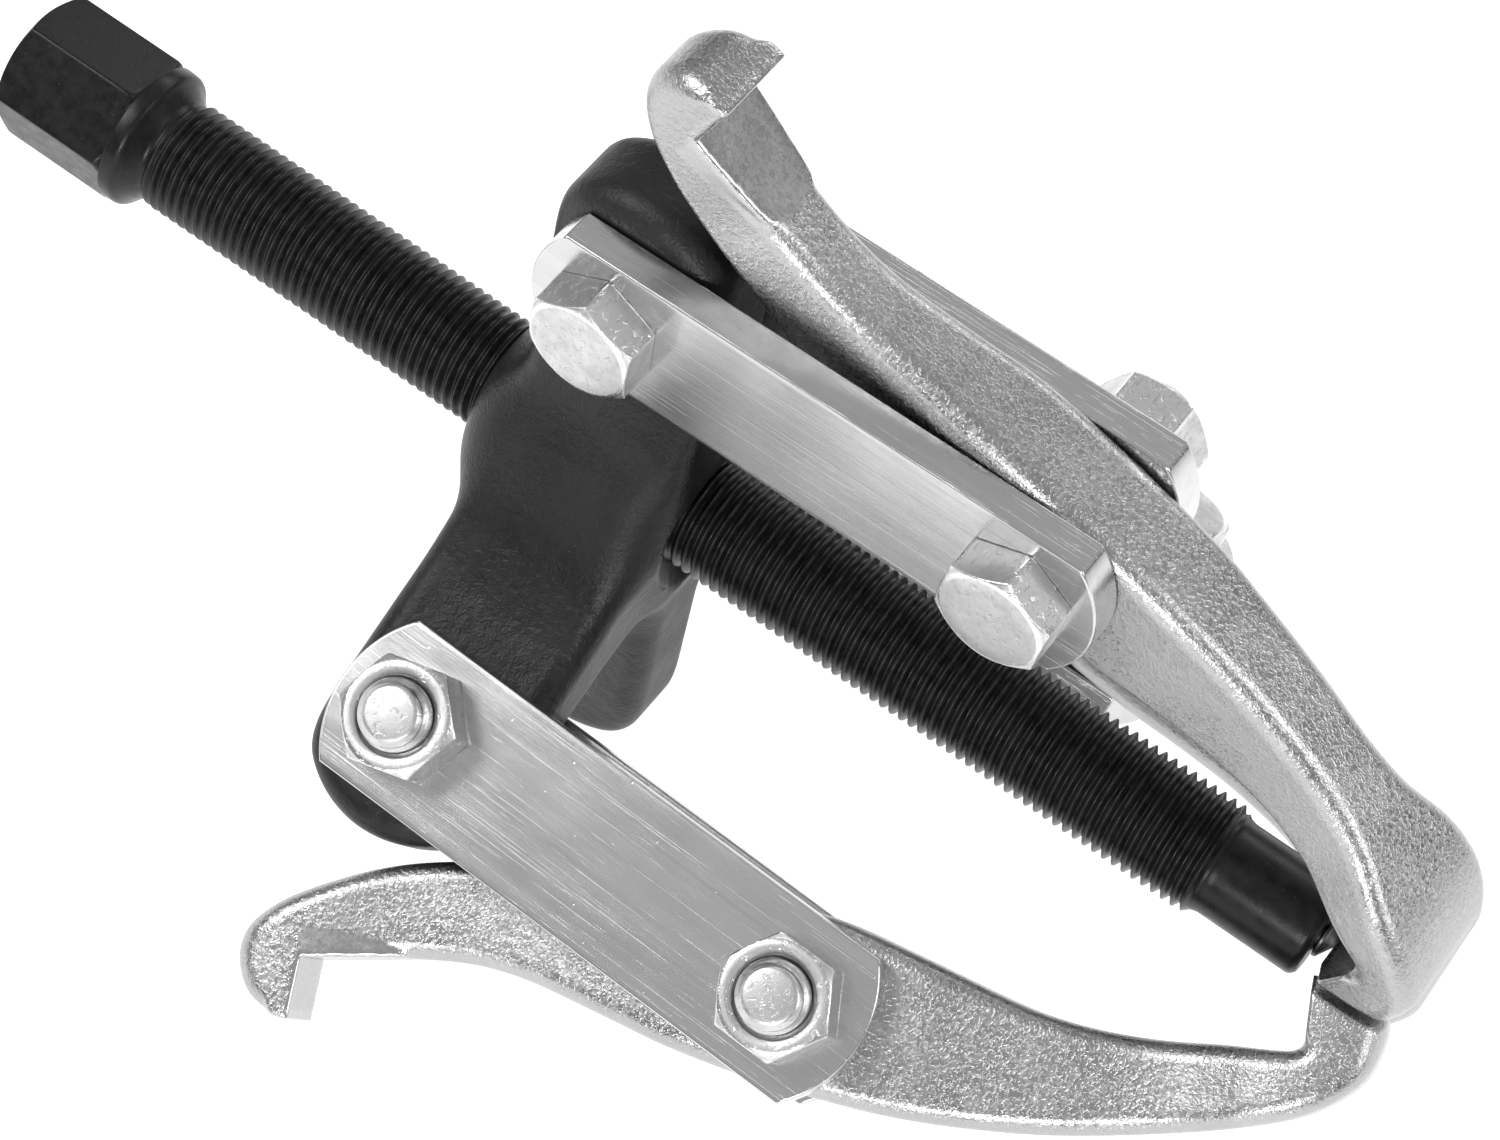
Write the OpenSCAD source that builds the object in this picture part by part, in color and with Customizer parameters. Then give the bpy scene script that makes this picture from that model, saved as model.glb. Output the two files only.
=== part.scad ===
// Reversible gear puller: a four-lug yoke, a forcing screw and three hinged two-hook jaws.
// Millimetres. The forcing screw lies on X with its point at +X, and the first arm stands up along +Z.
// The origin is on the screw's axis, in the plane of the lug bolts.

/* [Forcing screw] */
// Major diameter of the thread
screw_d = 15.9; // [12:0.1:18]
// Distance from the lug bolts back to the outer end of the hex head
head_reach = 98.4; // [90:0.2:120]
// Width of the hex head across its flats
head_af = 18.7; // [17:0.1:24]
// Length of the hex head
head_len = 18.4; // [12:0.2:24]
// Length of the collar and plain neck between the head and the thread
neck_len = 5; // [4:0.1:8]
// Distance from the lug bolts forward to the end of the thread
thread_reach = 94.5; // [60:0.5:94.5]
// Diameter of the plain nose in front of the thread
nose_d = 13.4; // [10:0.1:14]
// Length of the plain nose
nose_len = 15.3; // [8:0.1:15.3]
// Diameter of the centre point's stem
point_stem_d = 5; // [3:0.1:7]
// How far the centre point stands out of the nose
point_len = 2.4; // [1:0.1:2.4]

/* [Yoke] */
// Diameter of the boss round the screw
boss_d = 31; // [28:0.5:36]
// Length of the boss behind the lug bolts
boss_back = 18.5; // [14:0.5:20]
// Length of the boss in front of the lug bolts
boss_front = 10.5; // [10:0.5:16]
// Distance from the screw's axis to a lug bolt
lug_reach = 43.5; // [40:0.5:50]
// Width of a lug along the screw
lug_w = 26.4; // [24:0.2:28]
// Thickness of a lug between its straps
lug_t = 13.6; // [10:0.1:13.6]
// Radius of a lug's round end about its bolt
lug_end_r = 15.6; // [14:0.1:15.6]

/* [Straps] */
// Distance between a strap's two bolt holes
strap_centres = 60; // [55:0.5:65]
// Width of a strap
strap_w = 22.2; // [18:0.2:24]
// Thickness of a strap
strap_t = 4.9; // [4:0.1:6]
// Clear gap between the two straps of a pair
strap_gap = 13.9; // [13.9:0.1:15]
// Length of a strap past each hole
strap_end = 11.1; // [10:0.1:12]
// Radius of a strap's arched end
strap_end_r = 16.8; // [14:0.2:24]
// How far a strap pair leans out from the screw
strap_lean = 1.4; // [0:0.1:5]

/* [Jaws] */
// Angle between a jaw and the screw, hooks down
jaw_lean = 25; // [24:0.5:26]
// Thickness of a jaw between its straps
jaw_t = 13.6; // [10:0.1:13.6]
// Width of the front hook
front_hook_w = 21.4; // [16:0.2:22]
// Width of the back hook
back_hook_w = 12; // [10:0.2:14]
// Gap left between the three closed front hooks and the planes that divide them
tip_gap = 0.6; // [0.4:0.1:1.5]

/* [Fasteners] */
// Diameter of a bolt's shank
bolt_d = 9.52; // [9:0.02:9.52]
// Diameter of the bolt holes in the yoke and the jaws
pivot_hole_d = 9.64; // [9.6:0.01:9.7]
// Width of a bolt head or nut across its flats
hex_af = 14.3; // [13:0.1:16]
// Height of a bolt head
bolt_head_h = 5.8; // [5:0.1:7]
// Height of a nut
nut_h = 8.1; // [5:0.1:9]
// How far a bolt stands out of its nut
bolt_proud = 3; // [1:0.1:4]

/* [Hidden] */

eps = 0.05;
round_fn = 96;
// Turn of each arm about the screw: b stands up, a and c hang to the sides, the spare lug points down
turn_a = 120;
turn_b = 0;
turn_c = 240;
spare_turn = 180;
lug_turns = [turn_b, turn_a, spare_turn, turn_c];

// Running clearance, on the radius, of the screw in the yoke and of the point in the screw
screw_clear = 0.05;
point_clear = 0.04;
// Clearance, on the radius, of a bolt in its straps and in its nut
strap_hole_clear = 0.05;
nut_clear = 0.03;
// Depth of the centre point's socket, and the gap behind its stem
socket_depth = 9;
socket_end_gap = 0.5;
// Free length between the point's shoulder and the nose
point_gap = 0.3;

nose_end = thread_reach + nose_len;
head_front = head_len - head_reach;
thread_back = head_front + neck_len;
// Radius of the collar in front of the hex head, and the turn of the head
collar_r = head_af / 2 + 0.85;
head_turn = 45;
boss_r = boss_d / 2;
strap_inner = strap_gap / 2;
strap_outer = strap_inner + strap_t;
grip = 2 * strap_outer;
bolt_len = grip + nut_h + bolt_proud;
// Turns of the bolt heads and nuts, as they were left when tightened
yoke_bolt_turn = 30;
yoke_nut_turn = 15;
jaw_bolt_turn = 24;
jaw_nut_turn = 0;
// Ring that stands out of the boss in front of the lugs
boss_ring_r = 10.6;
boss_ring_front = lug_w / 2 + 0.5;

// A jaw's outline in its own frame: pivot at 0, front hook towards +x, outside of the puller towards +y.
// Each list is a smooth run, and the runs meet at the sharp corners of the hooks.
outer_run = [
    [72.6, -14.1], [74.2, -10.1], [73.9, -6.3], [72.4, -2.3], [69, 1.1], [64.2, 3.9], [56.5, 6.5], [48.4, 8.5],
    [40.7, 10.1], [33.3, 11.3], [25.7, 12], [18.8, 12.3], [11.9, 12.2], [3.6, 11.5], [-5.7, 10.3],
    [-15.1, 8.5], [-21.4, 6.8], [-28, 5], [-34.7, 3.3], [-41.6, 2.5], [-49.2, 2.9], [-57.3, 4.2],
    [-64.2, 5.4]
];
back_hook_run = [
    [-64.5, 13.5], [-67, 13.2], [-70.8, 11.1], [-72.9, 7.7], [-73.2, 4.6], [-71.9, 1.6], [-67.8, -2],
    [-61.5, -5.5], [-55.4, -8.1], [-48.6, -9.9], [-39.9, -11.2], [-28, -12.1], [-11.8, -12.4], [2.6, -11.4],
    [14.7, -8.4], [27, -4.9], [33.2, -3.6], [40.1, -3], [47.3, -3.1], [54.5, -3.8], [62.8, -4.4],
    [64.5, -5.8]
];
front_tip = [64.2, -14.2];

// Half-widths of a jaw along its length, as seen from outside: the back hook, the thin back of the body,
// the flat part between the straps, and the body in front of them with the front hook's flare
half_mid = jaw_t / 2;
half_slim = 5;
half_front = front_hook_w / 2;
half_back = back_hook_w / 2;
width_run = [
    [-75, half_back - 2.4], [-73, half_back - 0.9], [-69, half_back], [-62, half_back - 0.1],
    [-54, half_slim + 0.2], [-44, half_slim], [-34, half_slim + 0.2], [-23, half_mid - 0.7], [-14, half_mid]
];
flare_run = [
    [13, half_mid], [22, half_mid - 0.4], [34, half_slim + 1], [43, half_slim + 0.9], [50, half_slim + 1.7],
    [54, half_slim + 2.9], [58, half_front - 1.3], [62, half_front - 0.4], [67, half_front],
    [71.5, half_front - 0.4], [74, half_front - 1.8], [75, half_front - 3.4]
];

function spline_point(a, b, c, d, t) =
    0.5 * (2 * b + (c - a) * t + (2 * a - 5 * b + 4 * c - d) * t * t + (3 * b - a - 3 * c + d) * t * t * t);
function smooth_run(p, n) = [
    for (i = [0 : len(p) - 2])
        for (k = [0 : n - 1])
            spline_point(p[max(i - 1, 0)], p[i], p[i + 1], p[min(i + 2, len(p) - 1)], k / n),
    p[len(p) - 1]
];
function flip_list(p) = [for (i = [len(p) - 1 : -1 : 0]) [p[i][0], -p[i][1]]];

module hex_prism(af, h) {
    cylinder(d = af / cos(30), h = h, $fn = 6);
}

// A hex with its corners turned off at 30 degrees: at the top, and at the bottom too if both is set
module chamfered_hex(af, h, both) {
    corner_r = af / cos(30) / 2;
    flat_r = af / 2 - 0.25;
    drop = (corner_r - flat_r) * tan(30);
    intersection() {
        hex_prism(af, h);
        union() {
            translate([0, 0, h - drop])
                cylinder(r1 = corner_r, r2 = flat_r, h = drop, $fn = round_fn);
            translate([0, 0, both ? drop : 0])
                cylinder(r = corner_r, h = h - (both ? 2 : 1) * drop, $fn = round_fn);
            if (both)
                cylinder(r1 = flat_r, r2 = corner_r, h = drop, $fn = round_fn);
        }
    }
}

// Puts a solid drawn with its axis on +Z onto the +X axis
module along_x() {
    rotate([0, 90, 0]) children();
}

// Puts a solid drawn with its axis on +Z onto the +Y axis
module along_y() {
    rotate([-90, 0, 0]) children();
}

module forcing_screw() {
    color("#26272a")
    difference() {
        union() {
            // Hex head, chamfered at its outer end
            translate([head_front, 0, 0])
                rotate([0, -90, 0])
                rotate([0, 0, head_turn])
                chamfered_hex(head_af, head_len, false);
            // Collar, neck, thread envelope and nose
            along_x() rotate_extrude($fn = round_fn) polygon([
                [0, head_front - 1],
                [collar_r, head_front - 1],
                [collar_r, head_front + 2],
                [collar_r - 0.9, head_front + 2.9],
                [screw_d / 2 + 0.4, thread_back - 1.3],
                [screw_d / 2 - 0.4, thread_back - 0.6],
                [screw_d / 2, thread_back],
                [screw_d / 2, thread_reach - 1],
                [nose_d / 2, thread_reach + 0.3],
                [nose_d / 2, nose_end - 0.5],
                [nose_d / 2 - 0.5, nose_end],
                [0, nose_end]
            ]);
        }
        // Socket for the centre point
        translate([nose_end - socket_depth, 0, 0])
            along_x() cylinder(d = point_stem_d + 2 * point_clear, h = socket_depth + 1, $fn = round_fn);
    }
}

module centre_point() {
    stem_back = nose_end - socket_depth + socket_end_gap;
    color("#3a3b3f")
    along_x() rotate_extrude($fn = round_fn) polygon([
        [0, stem_back],
        [point_stem_d / 2, stem_back],
        [point_stem_d / 2, nose_end + point_gap],
        [point_stem_d / 2 + 0.6, nose_end + point_gap],
        [point_stem_d / 2 + 0.6, nose_end + point_gap + 0.5],
        [0.4, nose_end + point_len],
        [0, nose_end + point_len]
    ]);
}

// The four lugs' outline as seen along the screw. They are thicker at their roots, and where two lugs
// stand 60 degrees apart their tapers meet in a valley
root_half = 9;
root_z = 11;
taper_z = 27;
taper = (root_half - lug_t / 2) / (taper_z - root_z);
valley_z = (root_half + taper * root_z) / (tan(30) + taper);
wide_valley_r = root_half / sin(60);
function turned(p, turn) = [p[0] * cos(turn) - p[1] * sin(turn), p[0] * sin(turn) + p[1] * cos(turn)];
// Points of one lug from its tip's +y corner round to its -y corner
square_end = lug_reach + lug_end_r + 1;
lug_tip = [[lug_t / 2, taper_z], [lug_t / 2, square_end], [-lug_t / 2, square_end], [-lug_t / 2, taper_z]];
narrow_valley = [[-valley_z * tan(30), valley_z]];
wide_valley = [[-root_half, root_z], [-wide_valley_r * sin(60), wide_valley_r * cos(60)]];
far_root = [[root_half, root_z]];
function turn_all(points, turn) = [for (p = points) turned(p, turn)];
star = concat(
    turn_all(far_root, turn_b), turn_all(lug_tip, turn_b), turn_all(wide_valley, turn_b),
    turn_all(far_root, turn_a), turn_all(lug_tip, turn_a), turn_all(narrow_valley, turn_a),
    turn_all(lug_tip, spare_turn), turn_all(narrow_valley, spare_turn),
    turn_all(lug_tip, turn_c), turn_all(wide_valley, turn_c)
);

// What is cut from a square lug to leave its round end
module lug_end_cut() {
    margin = 3;
    half_w = lug_w / 2 + 1;
    difference() {
        translate([-half_w, -lug_t, lug_reach + margin])
            cube([2 * half_w, 2 * lug_t, lug_end_r]);
        translate([0, -lug_t - margin, lug_reach])
            along_y() cylinder(r = lug_end_r, h = 2 * (lug_t + margin), $fn = round_fn);
    }
}

module yoke() {
    color("#1d1e20")
    difference() {
        union() {
            along_x() rotate_extrude($fn = round_fn) polygon([
                [0, -boss_back],
                [screw_d / 2 + 2, -boss_back],
                [boss_r - 2.5, -boss_back + 2.3],
                [boss_r, -lug_w / 2 + 1],
                [boss_r, boss_front - 3],
                [boss_r - 3, boss_front],
                [boss_ring_r, boss_ring_front],
                [0, boss_ring_front]
            ]);
            translate([-lug_w / 2, 0, 0])
                rotate([90, 0, 90])
                linear_extrude(lug_w)
                polygon(star);
        }
        // Bore for the screw
        translate([-boss_back - 1, 0, 0])
            along_x() cylinder(r = screw_d / 2 + screw_clear, h = boss_back + lug_w, $fn = round_fn);
        // A round end and a bolt hole on each lug
        for (turn = lug_turns)
            rotate([turn, 0, 0]) {
                lug_end_cut();
                translate([0, -lug_t, lug_reach])
                    along_y() cylinder(d = pivot_hole_d, h = 2 * lug_t, $fn = round_fn);
            }
    }
}

// Turns an upright arm to its place round the screw
module arm(turn) {
    rotate([turn, 0, 0]) children();
}

// The strap pair's frame: the lug bolt at 0, the jaw bolt at +x
module link_frame() {
    translate([0, 0, lug_reach])
        rotate([0, -strap_lean, 0])
        children();
}

module strap_blank() {
    intersection() {
        translate([-strap_end - 1, 0, -strap_w / 2])
            cube([strap_centres + 2 * strap_end + 2, strap_t, strap_w]);
        union() {
            for (x = [strap_end_r - strap_end, strap_centres + strap_end - strap_end_r])
                translate([x, 0, 0])
                along_y() cylinder(r = strap_end_r, h = strap_t, $fn = round_fn);
            translate([strap_end_r - strap_end, 0, -strap_w])
                cube([strap_centres + 2 * (strap_end - strap_end_r), strap_t, 2 * strap_w]);
        }
    }
}

// side is -1 for the strap under the bolt heads and 1 for the strap under the nuts
module strap(turn, side) {
    color("#c9cacc")
    arm(turn) link_frame()
    difference() {
        translate([0, side > 0 ? strap_inner : -strap_outer, 0]) strap_blank();
        for (x = [0, strap_centres])
            translate([x, -strap_outer - 1, 0])
            along_y() cylinder(r = bolt_d / 2 + strap_hole_clear, h = grip + 2, $fn = round_fn);
    }
}

// A hex bolt through both straps, head at -y
module bolt(turn, x, hex_turn) {
    end_r = bolt_d / 2 - 1.15;
    color("#d2d2d2")
    arm(turn) link_frame()
    translate([x, 0, 0]) {
        translate([0, -strap_outer, 0])
            rotate([90, 0, 0])
            rotate([0, 0, hex_turn])
            chamfered_hex(hex_af, bolt_head_h, false);
        translate([0, -strap_outer - eps, 0])
            along_y() rotate_extrude($fn = round_fn) polygon([
                [0, 0],
                [bolt_d / 2, 0],
                [bolt_d / 2, bolt_len - 1.2],
                [end_r, bolt_len - 0.2],
                [end_r * 0.6, bolt_len],
                [0, bolt_len]
            ]);
    }
}

// A hex nut on the outer face of the +y strap
module nut(turn, x, hex_turn) {
    countersink_r = bolt_d / 2 + 0.5;
    color("#cfcfcf")
    arm(turn) link_frame()
    translate([x, strap_outer, 0])
    along_y()
    rotate([0, 0, hex_turn])
    difference() {
        chamfered_hex(hex_af, nut_h, true);
        translate([0, 0, -1])
            cylinder(r = bolt_d / 2 + nut_clear, h = nut_h + 2, $fn = round_fn);
        translate([0, 0, nut_h - 0.5])
            cylinder(r1 = bolt_d / 2, r2 = countersink_r + 0.5, h = 1, $fn = round_fn);
    }
}

// The jaw's side outline, drawn through its thickness and trimmed by its outline from above
module jaw_blank() {
    side_steps = 3;
    width_steps = 3;
    side = concat(smooth_run(outer_run, side_steps), smooth_run(back_hook_run, side_steps), [front_tip]);
    half_run = concat(smooth_run(width_run, width_steps), smooth_run(flare_run, width_steps));
    intersection() {
        translate([0, half_front + 1, 0])
            rotate([90, 0, 0])
            linear_extrude(2 * half_front + 2)
            polygon(side);
        translate([0, 0, -30])
            linear_extrude(60)
            polygon(concat(half_run, flip_list(half_run)));
    }
}

// The third of the space round the screw that belongs to an upright arm
module own_sector() {
    reach = 200;
    apex = tip_gap / sin(60);
    rotate([90, 0, 90])
        linear_extrude(reach)
        polygon([[0, apex], [reach * sin(60), apex + reach * cos(60)], [0, reach],
            [-reach * sin(60), apex + reach * cos(60)]]);
}

module jaw(turn) {
    color("#b9babc")
    arm(turn)
    difference() {
        intersection() {
            link_frame()
                translate([strap_centres, 0, 0])
                rotate([0, strap_lean + jaw_lean, 0])
                jaw_blank();
            translate([-60, 0, 0]) own_sector();
        }
        link_frame()
            translate([strap_centres, -lug_t, 0])
            along_y() cylinder(d = pivot_hole_d, h = 2 * lug_t, $fn = round_fn);
    }
}

yoke();
forcing_screw();
centre_point();

jaw(turn_a);  // jaw_a
strap(turn_a, -1);  // bolt_side_strap_a
strap(turn_a, 1);  // nut_side_strap_a
bolt(turn_a, 0, yoke_bolt_turn);  // yoke_bolt_a
nut(turn_a, 0, yoke_nut_turn);  // yoke_nut_a
bolt(turn_a, strap_centres, jaw_bolt_turn);  // jaw_bolt_a
nut(turn_a, strap_centres, jaw_nut_turn);  // jaw_nut_a

jaw(turn_b);  // jaw_b
strap(turn_b, -1);  // bolt_side_strap_b
strap(turn_b, 1);  // nut_side_strap_b
bolt(turn_b, 0, yoke_bolt_turn);  // yoke_bolt_b
nut(turn_b, 0, yoke_nut_turn);  // yoke_nut_b
bolt(turn_b, strap_centres, jaw_bolt_turn);  // jaw_bolt_b
nut(turn_b, strap_centres, jaw_nut_turn);  // jaw_nut_b

jaw(turn_c);  // jaw_c
strap(turn_c, -1);  // bolt_side_strap_c
strap(turn_c, 1);  // nut_side_strap_c
bolt(turn_c, 0, yoke_bolt_turn);  // yoke_bolt_c
nut(turn_c, 0, yoke_nut_turn);  // yoke_nut_c
bolt(turn_c, strap_centres, jaw_bolt_turn);  // jaw_bolt_c
nut(turn_c, strap_centres, jaw_nut_turn);  // jaw_nut_c
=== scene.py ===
import math

import bmesh
import bpy
import numpy as np
from mathutils import Matrix, Vector


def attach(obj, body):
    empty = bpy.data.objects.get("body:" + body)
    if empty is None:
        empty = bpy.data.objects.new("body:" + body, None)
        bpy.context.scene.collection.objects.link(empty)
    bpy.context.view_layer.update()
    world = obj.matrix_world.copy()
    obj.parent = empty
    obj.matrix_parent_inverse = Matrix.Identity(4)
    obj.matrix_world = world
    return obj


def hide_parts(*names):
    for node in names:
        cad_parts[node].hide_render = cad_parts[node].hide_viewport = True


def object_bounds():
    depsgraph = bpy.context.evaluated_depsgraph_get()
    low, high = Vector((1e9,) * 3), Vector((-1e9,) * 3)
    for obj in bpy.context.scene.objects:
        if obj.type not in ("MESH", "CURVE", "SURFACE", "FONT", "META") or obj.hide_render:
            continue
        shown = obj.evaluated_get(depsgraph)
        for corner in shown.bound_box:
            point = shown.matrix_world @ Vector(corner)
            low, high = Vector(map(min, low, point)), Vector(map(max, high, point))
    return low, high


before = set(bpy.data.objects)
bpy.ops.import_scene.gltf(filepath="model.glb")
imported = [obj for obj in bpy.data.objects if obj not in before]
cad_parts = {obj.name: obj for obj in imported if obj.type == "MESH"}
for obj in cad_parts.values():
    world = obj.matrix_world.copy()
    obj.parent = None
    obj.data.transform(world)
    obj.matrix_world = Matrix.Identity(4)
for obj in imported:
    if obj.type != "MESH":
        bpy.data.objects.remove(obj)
cad_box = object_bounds()
MM = 0.001
WELD = 0.004

# Sizes in millimetres, as in the CAD source. X runs along the screw, and arm b stands up along Z.
TURNS = {"b": 0, "a": 120, "c": 240}
SPARE_TURN = 180
LUG_TURNS = (*TURNS.values(), SPARE_TURN)
LUG_REACH, LUG_HALF_W, LUG_HALF_T, LUG_END_R = 43.5, 13.2, 6.8, 15.6
ROOT_HALF_T, ROOT_Z, TAPER_Z, LUG_START_Z = 9, 11, 27, 4
BOSS_R, BOSS_BACK, BOSS_FRONT = 15.5, 18.5, 12.1
BOSS_BACK_EDGE_R, BOSS_FRONT_EDGE_R, LUG_EDGE_R, LUG_BLEND_R = 8.0, 4.5, 3.4, 5.0
JAW_EDGE_R, MILLED_EDGE_R = 2.5, 0.45
SCREW_D, SCREW_PITCH, NOSE_D = 15.9, 1.5, 13.4
HEAD_BACK, HEAD_FRONT, HEAD_AF, HEAD_TURN = -98.4, -80, 18.7, 45
THREAD_BACK, THREAD_FRONT, NOSE_END = -75, 94.5, 109.8
NECK_R, RUNOUT_R = 7.1, 6.95
SOCKET_R, SOCKET_DEPTH = 2.54, 3
STRAP_CENTRES, STRAP_HALF_W, STRAP_END, STRAP_END_R = 60, 11.1, 11.1, 16.8
STRAP_INNER, STRAP_OUTER, STRAP_HOLE_R = 6.95, 11.85, 4.81
STRAP_LEAN, JAW_LEAN = 1.4, 25
HEX_AF, HEAD_H, NUT_H, BOLT_D, BOLT_PROUD = 14.3, 5.8, 8.1, 9.52, 3
BOLT_PITCH = 1.5875
PIVOT_R = 4.82
YOKE_BOLT_TURN, YOKE_NUT_TURN, JAW_BOLT_TURN, JAW_NUT_TURN = 30, 15, 24, 0

# A jaw's outline from the side: pivot at 0, front hook towards +x, outside of the puller towards +y
OUTER_RUN = [
    (72.6, -14.1), (74.2, -10.1), (73.9, -6.3), (72.4, -2.3), (69, 1.1), (64.2, 3.9), (56.5, 6.5),
    (48.4, 8.5), (40.7, 10.1), (33.3, 11.3), (25.7, 12), (18.8, 12.3), (11.9, 12.2), (3.6, 11.5),
    (-5.7, 10.3), (-15.1, 8.5), (-21.4, 6.8), (-28, 5), (-34.7, 3.3), (-41.6, 2.5), (-49.2, 2.9),
    (-57.3, 4.2), (-64.2, 5.4)]
BACK_HOOK_RUN = [
    (-64.5, 13.5), (-67, 13.2), (-70.8, 11.1), (-72.9, 7.7), (-73.2, 4.6), (-71.9, 1.6), (-67.8, -2),
    (-61.5, -5.5), (-55.4, -8.1), (-48.6, -9.9), (-39.9, -11.2), (-28, -12.1), (-11.8, -12.4), (2.6, -11.4),
    (14.7, -8.4), (27, -4.9), (33.2, -3.6), (40.1, -3), (47.3, -3.1), (54.5, -3.8), (62.8, -4.4),
    (64.5, -5.8)]
FRONT_TIP = [(64.2, -14.2)]
# A jaw's half width along its length
WIDTH_RUN = [
    (-75, 3.6), (-73, 5.1), (-69, 6), (-62, 5.9), (-54, 5.2), (-44, 5), (-34, 5.2), (-23, 6.1), (-14, 6.8),
    (13, 6.8), (22, 6.4), (34, 6), (43, 5.9), (50, 6.7), (54, 7.9), (58, 9.4), (62, 10.3), (67, 10.7),
    (71.5, 10.3), (74, 8.9), (75, 7.3)]
TIP_APEX = 0.693


# ---------------------------------------------------------------- distance fields and their meshes

def smooth_run(points, n):
    """A Catmull-Rom curve through points, ends included."""
    p = np.array(points, float)
    p = np.vstack([p[:1], p, p[-1:]])
    out = []
    for i in range(1, len(p) - 2):
        a, b, c, d = p[i - 1], p[i], p[i + 1], p[i + 2]
        for t in np.arange(n) / n:
            out.append(0.5 * (2 * b + (c - a) * t + (2 * a - 5 * b + 4 * c - d) * t ** 2
                              + (3 * b - a - 3 * c + d) * t ** 3))
    out.append(p[-2])
    return np.array(out)


def outline_distance(x, y, outline):
    """Signed distance to a closed outline, negative inside."""
    best = np.full(np.broadcast(x, y).shape, 1e9)
    inside = np.zeros(best.shape, bool)
    for (ax, ay), (bx, by) in zip(outline, np.roll(outline, -1, 0)):
        ex, ey = bx - ax, by - ay
        px, py = x - ax, y - ay
        t = np.clip((px * ex + py * ey) / (ex * ex + ey * ey + 1e-12), 0, 1)
        best = np.minimum(best, (px - t * ex) ** 2 + (py - t * ey) ** 2)
        if ey:
            inside ^= ((ay > y) != (by > y)) & (x < ax + (y - ay) * ex / ey)
    return np.where(inside, -1, 1) * np.sqrt(best)


def smooth_min(a, b, k):
    h = np.clip(0.5 + 0.5 * (b - a) / k, 0, 1)
    return b + (a - b) * h - k * h * (1 - h)


def smooth_max(a, b, k):
    return -smooth_min(-a, -b, k)


def round_and(a, b, r):
    """What is inside both, with the edge between them rounded to radius r."""
    a, b = a + r, b + r
    return np.hypot(np.maximum(a, 0), np.maximum(b, 0)) + np.minimum(np.maximum(a, b), 0) - r


def ease(t):
    t = np.clip(t, 0, 1)
    return t * t * (3 - 2 * t)


def field_mesh(field, low, high, step):
    """Points and quads of the surface where field(x, y, z) is 0, by surface nets, pulled onto the surface."""
    axes = [np.arange(a, b + step, step) for a, b in zip(low, high)]
    value = field(axes[0][:, None, None], axes[1][None, :, None], axes[2][None, None, :])
    inside = value < 0
    shape = np.array(value.shape)
    cells = int(np.prod(shape))
    strides = np.array([shape[1] * shape[2], shape[2], 1])
    total, count, quads = np.zeros((3, cells)), np.zeros(cells), []
    for axis in range(3):
        one = np.eye(3, dtype=int)[axis]
        near = tuple(slice(0, -1) if i == axis else slice(None) for i in range(3))
        far = tuple(slice(1, None) if i == axis else slice(None) for i in range(3))
        found = np.argwhere(inside[near] != inside[far])
        va, vb = value[tuple(found.T)], value[tuple((found + one).T)]
        crossing = found + (va / (va - vb))[:, None] * one
        u, v = [i for i in range(3) if i != axis]
        corners = []
        for du, dv in ((0, 0), (1, 0), (1, 1), (0, 1)):
            cell = found.copy()
            cell[:, u] -= du
            cell[:, v] -= dv
            key = cell @ strides
            corners.append(key)
            count += np.bincount(key, minlength=cells)
            for i in range(3):
                total[i] += np.bincount(key, crossing[:, i], cells)
        quad = np.stack(corners, 1)
        flip = (va < 0) == (axis == 1)
        quad[flip] = quad[flip][:, ::-1]
        quads.append(quad)
    used = np.flatnonzero(count)
    points = (total[:, used] / count[used]).T * step + np.array(low)
    index = np.zeros(cells, int)
    index[used] = np.arange(len(used))
    for _ in range(3):
        d, slope = field_slope(field, points)
        move = (d / np.maximum((slope ** 2).sum(1), 0.2))[:, None] * slope
        size = np.linalg.norm(move, axis=1, keepdims=True)
        points = points - move * np.minimum(1, 0.4 * step / np.maximum(size, 1e-9))
    return points, index[np.vstack(quads)]


def field_slope(field, points, gap=0.03):
    def at(p):
        return field(p[:, 0], p[:, 1], p[:, 2])
    slope = [(at(points + gap * e) - at(points - gap * e)) / (2 * gap) for e in np.eye(3)]
    return at(points), np.stack(slope, 1)


class Sampled:
    """A function of x and z kept on a fine grid."""

    def __init__(self, function, low, high, step):
        self.low, self.step = low, step
        x, z = [np.arange(a, b + 2 * step, step) for a, b in zip(low, high)]
        self.grid = function(x[:, None], z[None, :])

    def __call__(self, x, z):
        u, v = (x - self.low[0]) / self.step, (z - self.low[1]) / self.step
        i = np.clip(np.floor(u).astype(int), 0, self.grid.shape[0] - 2)
        j = np.clip(np.floor(v).astype(int), 0, self.grid.shape[1] - 2)
        fu, fv = np.clip(u - i, 0, 1), np.clip(v - j, 0, 1)
        g = self.grid
        return ((g[i, j] * (1 - fu) + g[i + 1, j] * fu) * (1 - fv)
                + (g[i, j + 1] * (1 - fu) + g[i + 1, j + 1] * fu) * fv)


# ---------------------------------------------------------------- turned and threaded shapes

def hex_angles():
    """Angles round a hex with its first corner at 0, closer together at the corners."""
    half = [0, 0.6, 1.3, 2.2, 3.6, 6, 9.5, 14, 19, 24.5]
    sector = half + [30] + [60 - a for a in reversed(half[1:])]
    return np.radians([60 * k + a for k in range(6) for a in sector])


def hex_radius(theta, af, r=0.35):
    """Distance from the axis to a hex's faces, with corners of radius r."""
    off = np.mod(theta + math.pi / 6, math.pi / 3) - math.pi / 6
    to_face = np.abs(off)
    flat = af / 2 / np.cos(math.pi / 6 - to_face)
    corner = af / 2 / math.cos(math.pi / 6) - r * (1 / math.cos(math.pi / 6) - 1)
    return smooth_min(flat, np.full_like(flat, corner), 0.12)


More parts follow.
